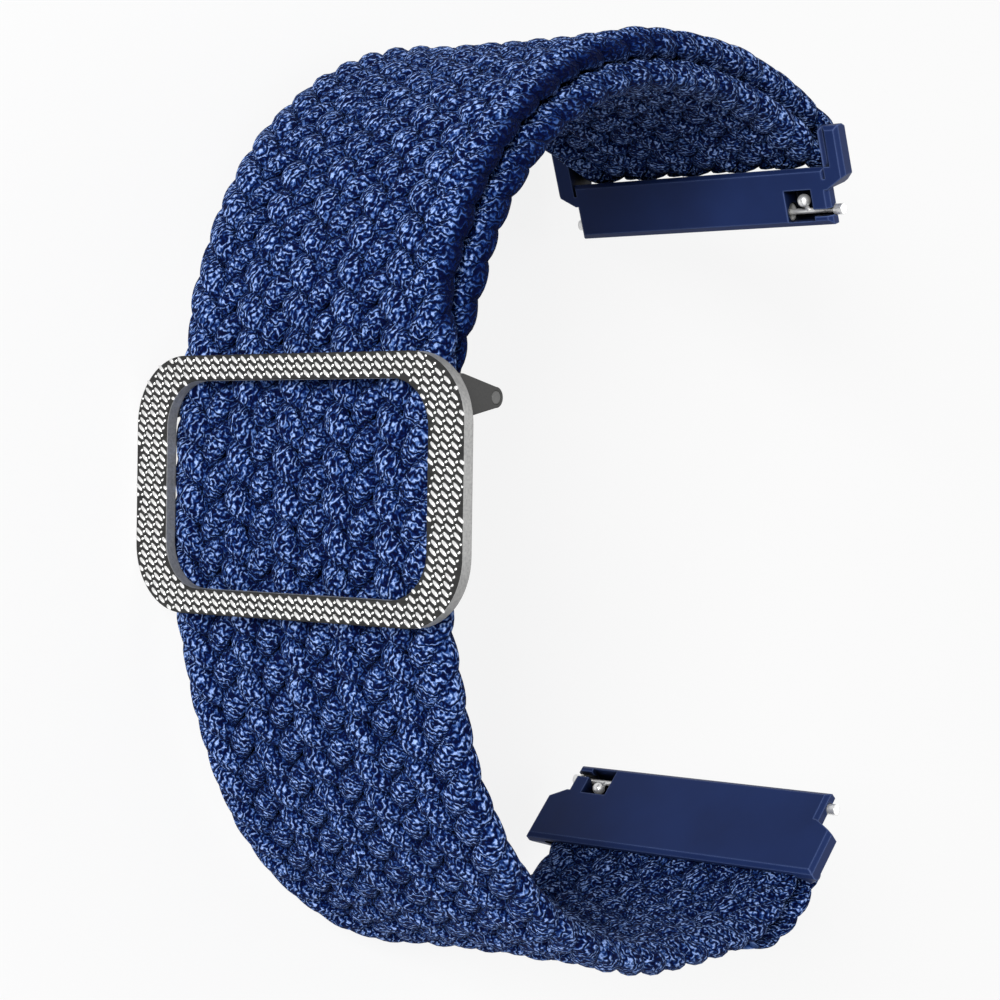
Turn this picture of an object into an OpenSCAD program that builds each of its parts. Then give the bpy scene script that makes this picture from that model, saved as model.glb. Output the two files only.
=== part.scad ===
// Braided watch strap with a slide buckle and two quick-release lug connectors.
// The closed loop lies on its edge: its outline is in the XY plane, the band's width is along Z.
// The origin is on the table, under the middle of the loop, and the watch side opens to +X.

/* [Band] */
// Width of the braided band, without the bulge of its edge loops
band_w = 19.3; // [17:0.1:19.4]
// Thickness of one layer of the band
band_t = 1.7; // [1.4:0.1:1.9]
// Thickness of the band where it is pinched round a bar
pinch_t = 0.9; // [0.7:0.05:0.9]
// Thickness of the pressed ends of both sewn tails
tail_end_t = 0.5; // [0.3:0.1:0.7]

/* [Loop] */
// Place of the middle of the back, outer face, in front of the origin
back_x = -19; // [-22:0.1:-18]
// Radius of the back, where the buckle rides, to the outer face
back_r = 40; // [36:0.5:46]
// Turn of the back above its middle
back_up_turn = 18; // [14:0.5:22]
// Turn of the back below its middle
back_down_turn = 19.8; // [16:0.1:24]
// Radius of both shoulders of the loop, to the outer face
shoulder_r = 21.2; // [19:0.1:24]
// Turn of the upper shoulder
upper_shoulder_turn = 68.4; // [64:0.1:72]
// Turn of the lower shoulder
lower_shoulder_turn = 71.4; // [68:0.1:75]
// Radius of the top stretch, to the outer face
top_r = 32.5; // [28:0.1:36]
// Turn of the top stretch
top_turn = 31.4; // [28:0.1:35]
// Straight length of the bottom stretch
bottom_length = 4.9; // [3:0.1:7]
// Radius of the bottom's end, to the outer face
bottom_end_r = 8.7; // [7:0.1:11]
// Turn of the bottom's end
bottom_end_turn = 44; // [40:0.5:50]

/* [Connectors] */
// Width of the part that goes between the watch's lugs
lug_w = 19.8; // [19:0.1:20]
// Free space on each side of the band, in the slot between the side arms
slot_side_gap = 0.25; // [0.2:0.01:0.4]
// Width of each side arm
arm_w = 1.4; // [1.2:0.1:2]
// Distance from the strap bar's axis to the lug edge
bar_to_edge = 4.85; // [4.6:0.05:5.4]
// Thickness of the block through the spring bar
block_t = 2.1; // [2.1:0.1:2.6]
// Radius of the moulded bar that the band goes round
strap_bar_r = 0.4; // [0.35:0.01:0.4]
// Turn of the upper connector's block against the table's X axis
upper_angle = -72; // [-78:0.5:-66]
// Depth of the upper connector's inner face under its strap bar
upper_bar_depth = 1.85; // [1.7:0.05:2]
// Thickness of the lower connector's hood over the folded end
hood_t = 0.6; // [0.5:0.05:0.8]

/* [Spring bars] */
// Distance from the spring bar's axis to the lug edge
pin_to_edge = 0.85; // [0.85:0.05:1.1]
// Distance from the spring bar's axis to the block's inner face
pin_depth = 0.8; // [0.75:0.05:1]
// Radius of the spring bar's barrel
barrel_r = 0.55; // [0.5:0.01:0.6]
// Radius of the tips that go into the watch's lugs
tip_r = 0.35; // [0.3:0.01:0.4]
// Radius of the rod behind each tip
rod_r = 0.18; // [0.15:0.01:0.2]
// Reach of each tip past the lug part
tip_reach = 0.5; // [0.4:0.05:0.7]
// Travel of the release knob
release_travel = 0.55; // [0.5:0.05:0.6]
// Radius of the release knob
knob_r = 0.42; // [0.35:0.01:0.45]
// Distance from the middle of the knob's window to the middle of the band
window_z = 7.7; // [7:0.1:7.8]
// Size of the window along the width
window_w = 2; // [1.9:0.1:2.3]
// Size of the window across the block
window_h = 2; // [1.9:0.1:2.1]

/* [Buckle] */
// Reach of the frame past each edge of the band
frame_overhang = 2.6; // [2.3:0.1:3.2]
// Height of the frame along the band
frame_h = 14.3; // [13:0.1:16]
// Thickness of the frame's plate
frame_t = 0.7; // [0.6:0.05:0.9]
// Width of each side rail
side_rail = 2.45; // [2.2:0.05:2.5]
// Width of the top and bottom rails
end_rail = 1.4; // [1.2:0.05:1.8]
// Outer corner radius of the frame
frame_corner_r = 3.8; // [3:0.1:4.5]
// Corner radius of the window
window_corner_r = 2.6; // [2:0.1:3]
// Radius of the buckle's bar
buckle_bar_r = 0.35; // [0.3:0.01:0.4]
// Thickness of the pressed loop round the buckle's bar
loop_t = 0.6; // [0.5:0.05:0.7]
// Width of that loop
loop_w = 18; // [17:0.1:19]
// Place of the buckle round the back, above its middle
buckle_turn = 1.3; // [-2:0.1:3]

/* [Clearances] */
// Free space round the bars inside the band's folds
bar_gap = 0.05; // [0.03:0.01:0.1]
// Free space between the layers of the band
layer_gap = 0.1; // [0.05:0.01:0.2]
// Free space between the band and the frame's plate
plate_gap = 0.33; // [0.3:0.01:0.5]
// Radial play of the barrel in its bore and of the tips in their holes
pin_play = 0.05; // [0.03:0.01:0.07]

/* [Hidden] */
$fn = 64;

braid_blue = "#28468c";
moulded_navy = "#202c50";
polished_steel = "#c9c9c6";

// Length of one facet of a band's outline
facet = 0.7;
frame_w = band_w + 2 * frame_overhang;
slot_w = band_w + 2 * slot_side_gap;
shoulder_w = slot_w + 2 * arm_w;
lift = frame_w / 2;
back_y = 0.4;
back_centre = [back_x + back_r, back_y];

// A state is [x, y, heading, thickness]; a stretch is [radius, turn, end thickness],
// or [0, length, end thickness] where it is straight. A positive turn is to the left.
function part_way(state, stretch, f) =
    let (
        h = state[2],
        t = state[3] + (stretch[2] - state[3]) * f,
        a = stretch[1] * f,
        r = stretch[0] * sign(stretch[1])
    )
    stretch[0] == 0
        ? [state[0] + a * cos(h), state[1] + a * sin(h), h, t]
        : [state[0] + r * (sin(h + a) - sin(h)), state[1] - r * (cos(h + a) - cos(h)), h + a, t];
function stretch_length(stretch) =
    stretch[0] == 0 ? abs(stretch[1]) : abs(stretch[1]) * PI / 180 * stretch[0];
function facets(stretch) =
    max(ceil(stretch_length(stretch) / facet), ceil(stretch[0] == 0 ? 1 : abs(stretch[1]) / 15));
function rest(list) = [for (i = [1 : 1 : len(list) - 1]) list[i]];
function walk(state, stretches) =
    len(stretches) == 0
        ? [state]
        : concat(
            [for (k = [0 : facets(stretches[0]) - 1])
                part_way(state, stretches[0], k / facets(stretches[0]))],
            walk(part_way(state, stretches[0], 1), rest(stretches)));
function arrive(state, stretches) =
    len(stretches) == 0 ? state : arrive(part_way(state, stretches[0], 1), rest(stretches));
function turned_round(states) =
    [for (i = [len(states) - 1 : -1 : 0])
        [states[i][0], states[i][1], states[i][2] + 180, states[i][3]]];
function beside(state, d) = [state[0] - d * sin(state[2]), state[1] + d * cos(state[2])];
function on_back(r, angle) =
    [back_centre[0] - r * cos(angle), back_centre[1] + r * sin(angle)];

// A strip of band that follows a walk, as wide as the band
module strip(states, w = band_w) {
    left = [for (s = states) beside(s, s[3] / 2)];
    right = [for (i = [len(states) - 1 : -1 : 0]) beside(states[i], -states[i][3] / 2)];
    translate([0, 0, lift])
        linear_extrude(w, center = true)
            polygon(concat(left, right));
}

// The main layer, from the middle of the back to the upper fold and to the lower fold
half_t = band_t / 2;
pinch_turn = 6;
under_hood = 1.9;
back_start = [back_x + half_t, back_y];
up_stretches = [
    [back_r - half_t, -back_up_turn, band_t],
    [shoulder_r - half_t, -upper_shoulder_turn, band_t],
    [top_r - half_t, pinch_turn - top_turn, band_t],
    [top_r - half_t, -pinch_turn, pinch_t]
];
down_stretches = [
    [back_r - half_t, back_down_turn, band_t],
    [shoulder_r - half_t, lower_shoulder_turn, band_t],
    [0, bottom_length, band_t],
    [bottom_end_r - half_t, bottom_end_turn * 0.6, band_t],
    [bottom_end_r - half_t, bottom_end_turn * 0.4, pinch_t],
    [0, under_hood, pinch_t]
];
up_start = concat(back_start, [90, band_t]);
down_start = concat(back_start, [-90, band_t]);
up_end = arrive(up_start, up_stretches);
down_end = arrive(down_start, down_stretches);

// Both folds go round a connector's bar, which sits in the middle of the half turn
fold_r = max(strap_bar_r + bar_gap + pinch_t / 2, (band_t + layer_gap) / 2);
upper_fold_stretches = [[fold_r, -180, pinch_t]];
upper_fold_end = arrive(up_end, upper_fold_stretches);
upper_bar = beside(up_end, -fold_r);

// The return layer runs back inside the main one as far as the bar loop
inset = half_t + 2 * fold_r;
back_return_r = back_r - inset;
return_end_turn = 17;
return_stretches = [
    [top_r - inset, pinch_turn, band_t],
    [top_r - inset, top_turn - pinch_turn, band_t],
    [shoulder_r - inset, upper_shoulder_turn, band_t],
    [back_return_r, back_up_turn - return_end_turn, band_t]
];

// The lower fold turns outwards and its sewn tail lies on the outer face of the main layer
lower_tail_t = 1.2;
lower_fold_stretches = [
    [fold_r, -180, pinch_t],
    [0, under_hood, lower_tail_t],
    [6.4, -42, tail_end_t]
];
lower_bar = beside(down_end, -fold_r);
lower_angle = down_end[2];

// The layer thins and nears the main one in two arcs, then loops round the buckle's bar
near_r = 13;
near_gap = 0.15;
loop_place_r = back_r - band_t - near_gap - loop_t / 2;
near_a = back_return_r + near_r;
near_b = loop_place_r - near_r;
near_c = 2 * near_r;
near_span = acos((near_a * near_a + near_b * near_b - near_c * near_c) / (2 * near_a * near_b));
near_out = acos((near_a * near_a + near_c * near_c - near_b * near_b) / (2 * near_a * near_c));
near_in = near_span + near_out;
slide_share = 0.2;
near_t = loop_t + (band_t - loop_t) * near_in / (near_in + near_out);
near_stretches = [[near_r, -near_out, near_t], [near_r, near_in, loop_t]];
return_end = concat(on_back(back_return_r, return_end_turn), [270 - return_end_turn, band_t]);
buckle_bar_turn = return_end_turn - near_span;
bar_loop_r = buckle_bar_r + bar_gap + loop_t / 2;
buckle_bar_place_r = loop_place_r - bar_loop_r;
loop_tail_turn = 4.5;
loop_start = part_way(arrive(return_end, [near_stretches[0]]), near_stretches[1], slide_share);
loop_stretches = [
    [near_r, near_in * (1 - slide_share), loop_t],
    [bar_loop_r, 180, loop_t],
    [buckle_bar_place_r - bar_loop_r, -loop_tail_turn, tail_end_t]
];

// Rows of thread stitches, each lying on a face of the band
stitch_length = 1.5;
stitch_t = 0.25;
stitch_pitch = 2.1;
stitch_count = 8;
module stitch_row(place, heading) {
    for (i = [0 : stitch_count - 1])
        translate([place[0], place[1], lift + (i - (stitch_count - 1) / 2) * stitch_pitch])
            rotate([0, 0, heading])
                translate([0, stitch_t / 2, 0])
                    cube([stitch_t, stitch_t, stitch_length], center = true);
}

module main_band() {
    color(braid_blue)
        strip(concat(turned_round(walk(down_start, down_stretches)),
                     rest(walk(up_start, up_stretches))));
}

module upper_fold() {
    color(braid_blue) strip(walk(up_end, upper_fold_stretches));
}

module return_band() {
    color(braid_blue) strip(walk(upper_fold_end, return_stretches));
}

module lower_fold() {
    color(braid_blue) strip(walk(down_end, lower_fold_stretches));
}

module bar_loop() {
    color(braid_blue) strip(walk(loop_start, loop_stretches), loop_w);
}

module lower_stitches() {
    tail_start = arrive(down_end, [lower_fold_stretches[0], lower_fold_stretches[1]]);
    seat = part_way(tail_start, lower_fold_stretches[2], 0.7);
    color(moulded_navy) stitch_row(beside(seat, seat[3] / 2), seat[2]);
}

module loop_stitches() {
    seat = part_way(arrive(loop_start, [loop_stretches[0], loop_stretches[1]]), loop_stretches[2], 0.45);
    color(moulded_navy) stitch_row(beside(seat, seat[3] / 2), seat[2]);
}

// Connectors are drawn with the strap bar on the Z axis, the lug edge towards +X, the outside
// of the strap towards +Y and the release knob at the +Z end
module at_upper() {
    translate([upper_bar[0], upper_bar[1], lift]) rotate([0, 0, upper_angle]) children();
}
module at_lower() {
    translate([lower_bar[0], lower_bar[1], lift])
        rotate([0, 0, lower_angle])
            rotate([180, 0, 0])
                children();
}

hood_gap = 0.2;
lower_bar_depth = fold_r + pinch_t / 2 + hood_gap + hood_t;
pin_x = bar_to_edge - pin_to_edge;
slot_edge_x = 1.15;
fold_room_x = fold_r + pinch_t / 2 + 0.3;
notch_x = 2.6;
shoulder_chamfer = 0.8;
edge_chamfer = 0.35;
rim = 0.25;
bore_r = barrel_r + pin_play;
tip_hole_r = tip_r + pin_play;
// Length of the tools that cut and trim a connector, longer than it is across
past_all = 20;
bore_start = window_z - window_w / 2;
bore_end = 1.2 - lug_w / 2;

module extruded(w) {
    linear_extrude(w, center = true) children();
}

// Side outline of the block, with its sloped face towards the fold
module block_side(depth) {
    inner = -depth;
    outer = block_t - depth;
    polygon([
        [bar_to_edge - edge_chamfer, inner],
        [bar_to_edge, inner + edge_chamfer],
        [bar_to_edge, outer - 2 * edge_chamfer],
        [bar_to_edge - 2 * edge_chamfer, outer],
        [fold_room_x + rim, outer],
        [fold_room_x, outer - rim],
        [fold_room_x, inner + 0.95],
        [slot_edge_x, inner + rim],
        [slot_edge_x + rim, inner]
    ]);
}

// Side outline of an arm that holds the strap bar
module arm_side(depth, arm_reach) {
    bar_cover = strap_bar_r + 0.1;
    polygon([
        [notch_x, -depth],
        [rim - arm_reach, -depth],
        [-arm_reach, rim - depth],
        [-arm_reach, 0.7 - depth],
        [-0.9, -bar_cover],
        [-bar_cover, bar_cover],
        [bar_cover, bar_cover],
        [fold_room_x, block_t - depth],
        [notch_x, block_t - depth]
    ]);
}

// Section across the width: a flat side of the given height, then a side that leans in
module across(w, side_height, depth) {
    lean = 3;
    half = [
        [-depth, w / 2 - rim],
        [rim - depth, w / 2],
        [side_height - depth, w / 2],
        [side_height + lean - depth, w / 2 - lean]
    ];
    rotate([90, 0, 90])
        linear_extrude(past_all, center = true)
            polygon(concat(half, [for (i = [len(half) - 1 : -1 : 0]) [half[i][0], -half[i][1]]]));
}

// Outline of the shoulders seen from the inner face, with their chamfered corners
module shoulder_plan() {
    a = lug_w / 2;
    b = shoulder_w / 2;
    rotate([90, 0, 0])
        linear_extrude(past_all, center = true)
            polygon([
                [-past_all, -b],
                [notch_x - shoulder_chamfer, -b],
                [notch_x, -a],
                [notch_x, a],
                [notch_x - shoulder_chamfer, b],
                [-past_all, b]
            ]);
}

module lug_part(depth) {
    intersection() {
        extruded(lug_w) block_side(depth);
        across(lug_w, 0.8, depth);
    }
}

module shoulders(depth, arm_reach) {
    intersection() {
        difference() {
            extruded(shoulder_w) arm_side(depth, arm_reach);
            translate([-past_all, -past_all / 2, -slot_w / 2])
                cube([past_all + fold_room_x + rim, past_all, slot_w]);
            for (side = [-1, 1])
                translate([-past_all, -depth, side * slot_w / 2])
                    rotate([45, 0, 0])
                        cube([past_all + slot_edge_x, rim * sqrt(2), rim * sqrt(2)]);
        }
        across(shoulder_w, 1, depth);
        shoulder_plan();
    }
}

// The bore for the spring bar, the knob's window and the groove beside it
module pin_space(depth) {
    pin_y = pin_depth - depth;
    translate([pin_x, pin_y, bore_end]) cylinder(h = bore_start - bore_end + 0.01, r = bore_r);
    translate([pin_x, pin_y, -lug_w / 2 - 2]) cylinder(h = lug_w + 4, r = tip_hole_r);
    translate([bar_to_edge - 0.35 - window_h, -depth - 0.01, bore_start])
        cube([window_h, pin_depth + 0.65, window_w]);
    groove_w = 2 * (rod_r + pin_play);
    translate([pin_x - groove_w / 2, -depth - 0.01, bore_start + 0.1])
        cube([groove_w, pin_depth + 0.01, lug_w]);
}

// The lower connector's hood covers the folded end of the band; its free edge is bevelled
hood_reach = 1.1;
module hood(depth) {
    intersection() {
        extruded(slot_w + 1)
            polygon([
                [notch_x, -depth],
                [-hood_reach, -depth],
                [-hood_reach - rim, -depth + rim],
                [-hood_reach - rim, -depth + hood_t - 0.1],
                [-hood_reach - rim + 0.1, -depth + hood_t],
                [fold_room_x + 0.1, -depth + hood_t]
            ]);
        shoulder_plan();
    }
}

module connector(depth, arm_reach, hooded) {
    color(moulded_navy)
        difference() {
            union() {
                lug_part(depth);
                shoulders(depth, arm_reach);
                cylinder(h = slot_w + 0.6, r = strap_bar_r, center = true);
                if (hooded)
                    hood(depth);
            }
            pin_space(depth);
        }
}

// The spring bar's pieces, with the bar's own axis on Z
barrel_wall = 0.12;
barrel_start = 1.3 - lug_w / 2;
barrel_length = bore_start - 0.15 - barrel_start;
pin_end = lug_w / 2 + tip_reach;
pin_tail = bore_start - 2.2;
head_r = barrel_r - barrel_wall - 0.03;
head_length = 0.5;
module barrel() {
    color(polished_steel)
        difference() {
            translate([0, 0, barrel_start]) cylinder(h = barrel_length, r = barrel_r);
            translate([0, 0, barrel_start - 1]) cylinder(h = barrel_length + 2, r = barrel_r - barrel_wall);
        }
}

module fixed_tip() {
    color(polished_steel)
        union() {
            translate([0, 0, -pin_end]) cylinder(h = tip_reach + 0.1, r = tip_r);
            translate([0, 0, -lug_w / 2]) cylinder(h = lug_w / 2 + barrel_start + 1.2, r = rod_r);
            translate([0, 0, barrel_start + 0.6]) cylinder(h = 0.6, r = barrel_r - barrel_wall);
        }
}

module release_pin() {
    color(polished_steel)
        union() {
            translate([0, 0, lug_w / 2 - 0.1]) cylinder(h = tip_reach + 0.1, r = tip_r);
            translate([0, 0, pin_tail]) cylinder(h = lug_w / 2 - pin_tail, r = rod_r);
            translate([0, 0, pin_tail]) cylinder(h = head_length, r = head_r);
        }
}

// The knob stands on a short stem that leans towards the band, with room for its travel
knob_z = window_z - window_w / 2 + release_travel + knob_r + 0.15;
knob_place = [-0.75, -0.35, knob_z];
stem_lean = atan2(-knob_place[0], -knob_place[1]);
module release_knob() {
    stem_r = 0.14;
    color(polished_steel)
        difference() {
            union() {
                translate(knob_place) sphere(r = knob_r);
                translate([0, 0, knob_z])
                    rotate([90, 0, 0])
                        rotate([0, -stem_lean, 0])
                            cylinder(h = norm([knob_place[0], knob_place[1]]), r = stem_r);
            }
            translate([0, 0, knob_z - 1]) cylinder(h = 2, r = rod_r);
        }
}

// The spring between the fixed tip and the release pin's head, swept along a helix
spring_wire_r = 0.07;
spring_r = 0.27;
spring_coils = 12;
spring_steps = 10;
spring_sides = 6;
spring_from = barrel_start + 1.2 + spring_wire_r;
spring_to = pin_tail - spring_wire_r;
function helix(i) =
    let (a = i * 360 / spring_steps, n = spring_coils * spring_steps)
    [spring_r * cos(a), spring_r * sin(a), spring_from + (spring_to - spring_from) * i / n];
function ring(i) =
    let (a = i * 360 / spring_steps, p = helix(i))
    [for (k = [0 : spring_sides - 1])
        let (b = k * 360 / spring_sides)
        [p[0] + spring_wire_r * cos(b) * cos(a), p[1] + spring_wire_r * cos(b) * sin(a),
         p[2] + spring_wire_r * sin(b)]];
module spring() {
    n = spring_coils * spring_steps;
    m = spring_sides;
    points = [for (i = [0 : n]) each ring(i)];
    walls = [for (i = [0 : n - 1]) for (k = [0 : m - 1])
        [i * m + k, i * m + (k + 1) % m, (i + 1) * m + (k + 1) % m, (i + 1) * m + k]];
    ends = [[for (k = [m - 1 : -1 : 0]) k], [for (k = [0 : m - 1]) n * m + k]];
    color(polished_steel) polyhedron(points, concat(walls, ends), convexity = 10);
}

module upper_pin() {
    at_upper() translate([pin_x, pin_depth - upper_bar_depth, 0]) children();
}
module lower_pin() {
    at_lower() translate([pin_x, pin_depth - lower_bar_depth, 0]) children();
}

// The buckle is drawn at the middle of the back and turned up to its place
module at_buckle() {
    translate([back_centre[0], back_centre[1], lift])
        rotate([0, 0, -buckle_turn])
            translate([-back_centre[0], 0, 0])
                children();
}

module rounded_rectangle(w, h, r) {
    square([w - 2 * r, h], center = true);
    square([w, h - 2 * r], center = true);
    for (x = [-1, 1]) for (y = [-1, 1])
        translate([x * (w / 2 - r), y * (h / 2 - r)]) circle(r);
}

// The plate's back face just clears the band at the rails' inner edges
rail_inner_y = frame_h / 2 - end_rail;
plate_back_x = back_centre[0] - sqrt(pow(back_r, 2) - pow(rail_inner_y, 2)) - plate_gap;
local_bar = [
    back_centre[0] - buckle_bar_place_r * cos(buckle_bar_turn - buckle_turn),
    buckle_bar_place_r * sin(buckle_bar_turn - buckle_turn)
];
// The ears carry the bar behind the side rails, outside the band's width
ear_t = 0.5;
ear_gap = 0.95;
ear_place = band_w / 2 + ear_gap;
ear_r = buckle_bar_r + 0.2;
ear_half_foot = 1.15;
ear_foot = [local_bar[1] - ear_half_foot, local_bar[1] + ear_half_foot];
ear_foot_x = plate_back_x - 0.2;
ear_neck_x = plate_back_x + 0.5;
module ear(z) {
    translate([0, 0, z])
        linear_extrude(ear_t)
            difference() {
                union() {
                    polygon([
                        [ear_foot_x, ear_foot[0]],
                        [ear_foot_x, ear_foot[1]],
                        [ear_neck_x, ear_foot[1]],
                        [local_bar[0], local_bar[1] + ear_r],
                        [local_bar[0], local_bar[1] - ear_r],
                        [ear_neck_x, ear_foot[0]]
                    ]);
                    translate(local_bar) circle(ear_r);
                }
                translate(local_bar) circle(buckle_bar_r + 0.01);
            }
}

module buckle_frame() {
    color(polished_steel)
        at_buckle()
            union() {
                translate([plate_back_x - frame_t, 0, 0])
                    rotate([0, 90, 0])
                        linear_extrude(frame_t)
                            difference() {
                                rounded_rectangle(frame_w, frame_h, frame_corner_r);
                                rounded_rectangle(frame_w - 2 * side_rail, frame_h - 2 * end_rail,
                                                  window_corner_r);
                            }
                ear(ear_place);
                ear(-ear_place - ear_t);
            }
}

module buckle_bar() {
    color(polished_steel)
        at_buckle()
            translate([local_bar[0], local_bar[1], -ear_place - ear_t])
                cylinder(h = 2 * (ear_place + ear_t), r = buckle_bar_r);
}

main_band();
upper_fold();
return_band();
lower_fold();
lower_stitches();
at_upper() connector(upper_bar_depth, 1.35, false);  // upper_connector
upper_pin() barrel();  // upper_barrel
upper_pin() fixed_tip();  // upper_fixed_tip
upper_pin() spring();  // upper_spring
upper_pin() release_pin();  // upper_release_pin
upper_pin() release_knob();  // upper_release_knob
at_lower() connector(lower_bar_depth, hood_reach + rim, true);  // lower_connector
lower_pin() barrel();  // lower_barrel
lower_pin() fixed_tip();  // lower_fixed_tip
lower_pin() spring();  // lower_spring
lower_pin() release_pin();  // lower_release_pin
lower_pin() release_knob();  // lower_release_knob
buckle_frame();
buckle_bar();
bar_loop();
loop_stitches();
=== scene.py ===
"""Looks of a braided watch strap with a slide buckle, built round its packed construction model.

Lengths in this file are millimetres unless a name says otherwise; meshes are made in metres.
The strap lies on its edge: its loop is in the XY plane and the band's width runs along Z.
"""

import math

import bpy
import numpy as np
from mathutils import Matrix, Vector

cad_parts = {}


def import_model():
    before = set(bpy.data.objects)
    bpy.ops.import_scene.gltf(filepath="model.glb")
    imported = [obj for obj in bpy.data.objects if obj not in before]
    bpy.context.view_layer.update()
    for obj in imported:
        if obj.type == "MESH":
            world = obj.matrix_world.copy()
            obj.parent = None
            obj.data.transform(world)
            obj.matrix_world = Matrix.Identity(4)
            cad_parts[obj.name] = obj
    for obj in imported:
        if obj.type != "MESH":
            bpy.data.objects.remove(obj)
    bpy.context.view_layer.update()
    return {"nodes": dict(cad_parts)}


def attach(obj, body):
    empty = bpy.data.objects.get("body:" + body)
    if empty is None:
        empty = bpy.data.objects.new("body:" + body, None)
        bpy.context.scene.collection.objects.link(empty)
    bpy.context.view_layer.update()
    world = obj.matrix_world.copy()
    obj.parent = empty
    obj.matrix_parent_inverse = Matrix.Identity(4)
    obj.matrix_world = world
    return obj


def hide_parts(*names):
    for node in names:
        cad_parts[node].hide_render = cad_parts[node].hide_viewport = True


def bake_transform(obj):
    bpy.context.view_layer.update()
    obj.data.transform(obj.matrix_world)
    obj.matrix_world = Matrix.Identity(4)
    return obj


MM = 0.001
SEED = 7

# The band's route, with the same values as the construction model
BAND_T = 1.7
PINCH_T = 0.9
TAIL_T = 0.5
LOWER_TAIL_T = 1.2
MIDDLE_Z = 12.25
BACK_CENTRE = (21.0, 0.4)
BACK_START = (-18.15, 0.4)
BUCKLE_TURN = 1.3
UP_STRETCHES = [
    (39.15, -18, BAND_T),
    (20.35, -68.4, BAND_T),
    (31.65, -25.4, BAND_T),
    (31.65, -6, PINCH_T),
]
UPPER_FOLD = [(0.9, -180, PINCH_T)]
RETURN_STRETCHES = [
    (29.85, 6, BAND_T),
    (29.85, 25.4, BAND_T),
    (18.55, 68.4, BAND_T),
    (37.35, 1, BAND_T),
]
BACK_RETURN_R = 37.35
LOOP_PLACE_R = 37.85
NEAR_R = 13.0
LOOP_T = 0.6
LOOP_ROUND_BAR = [(0.7, 180, LOOP_T), (36.45, -4.5, TAIL_T)]
DOWN_STRETCHES = [
    (39.15, 19.8, BAND_T),
    (20.35, 71.4, BAND_T),
    (0, 4.9, BAND_T),
    (7.85, 26.4, BAND_T),
    (7.85, 17.6, PINCH_T),
    (0, 1.9, PINCH_T),
]
LOWER_FOLD = [(0.9, -180, PINCH_T), (0, 1.9, LOWER_TAIL_T), (6.4, -42, TAIL_T)]
FINE_STEP = 0.05


def near_arcs():
    """The two arcs in which the return layer thins and nears the main one."""
    a = BACK_RETURN_R + NEAR_R
    b = LOOP_PLACE_R - NEAR_R
    c = 2 * NEAR_R
    span = math.degrees(math.acos((a * a + b * b - c * c) / (2 * a * b)))
    out = math.degrees(math.acos((a * a + c * c - b * b) / (2 * a * c)))
    back = span + out
    middle_t = LOOP_T + (BAND_T - LOOP_T) * back / (back + out)
    return [(NEAR_R, -out, middle_t), (NEAR_R, back, LOOP_T)]


# The braid: strands that cross the band, each over two and under two
COLUMNS = 10
STRANDS = 2 * COLUMNS + 1
ROW = 2.1
EDGE_LINE = 9.0
COLUMN_W = 2 * EDGE_LINE / COLUMNS
STRAND_RISE = 0.47
FLOAT_HALF_W = 0.88
DIVE_HALF_W = 0.63
EDGE_HALF_W = 0.84
FLOAT_HALF_T = 0.47
DIVE_HALF_T = 0.36
EDGE_HALF_T = 0.68
LEAN = 0.08
RING_STEP = 0.25
SIDES = 12
TABLE_STEPS = 96
CORNER_SOFTNESS = 0.17
STRAND_GIRTH = 3.8
BELL_REACH = 4
EDGE_STAY = 0.5
OVER_SQUARENESS = 0.7
PLUMP_POWER = 0.8
YARN_SHIFT = 3.7

# A strand takes its edge form from so many columns before its outermost place, within so many
EDGE_START = 0.95
EDGE_RAMP = 0.8

# A point is fully proud at PROUD_HEIGHT from the band's middle surface. Near the edge line it gets
# proud within PROUD_EDGE_RAMP, from PROUD_EDGE inside that line
PROUD_HEIGHT = 0.9
PROUD_EDGE = 0.2
PROUD_EDGE_RAMP = 0.9

# Unevenness of the strands: first phase, wavelength along the band and size
SIDEWAYS_DRIFT = (0, 9.0, 0.06)
HEIGHT_DRIFT = (2, 7.0, 0.03)
GIRTH_DRIFT = (4, 5.0, 0.05)
DRIFT_PHASES = 6
SLOW_SHARE = 0.6
QUICK_SHARE = 0.4
QUICK_WAVE = 0.37

# The loose fold at the upper connector: how far outward it lies and how much thicker it is
LOOSE_RISE = 0.07
LOOSE_SWELL = 0.1

# Distance along the band, and how far its lower edge curls outward there
EDGE_CURL = [
    (-46, 0), (-40, 0.5), (-30, 0.5), (-22, 0.3), (-14, 0),
    (14, 0), (22, 0.3), (30, 0.5), (42, 0.55), (50, 0),
]


def stretch_length(stretch):
    radius, turn, _ = stretch
    return abs(turn) if radius == 0 else abs(math.radians(turn)) * radius


def total_length(stretches):
    return sum(stretch_length(s) for s in stretches)


def part_way(state, stretch, share):
    """The state after a share of one stretch. A state is x, y, heading in radians, thickness."""
    x, y, heading, t = state
    radius, turn, t_end = stretch
    thickness = t + (t_end - t) * share
    if radius == 0:
        step = turn * share
        return x + step * np.cos(heading), y + step * np.sin(heading), heading, thickness
    angle = math.radians(turn) * share
    r = math.copysign(radius, turn)
    return (
        x + r * (np.sin(heading + angle) - np.sin(heading)),
        y - r * (np.cos(heading + angle) - np.cos(heading)),
        heading + angle,
        thickness,
    )


def walk(start, stretches):
    """Rows of x, y, heading, thickness and distance along a chain of stretches."""
    rows = []
    state = start
    gone = 0.0
    for stretch in stretches:
        length = stretch_length(stretch)
        shares = np.linspace(0, 1, max(2, math.ceil(length / FINE_STEP)), endpoint=False)
        x, y, heading, t = part_way(state, stretch, shares)
        heading = np.broadcast_to(heading, shares.shape)
        rows.append(np.column_stack([x, y, heading, t, gone + shares * length]))
        state = part_way(state, stretch, 1.0)
        gone += length
    rows.append(np.array([[*state, gone]]))
    return np.vstack(rows)


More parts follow.
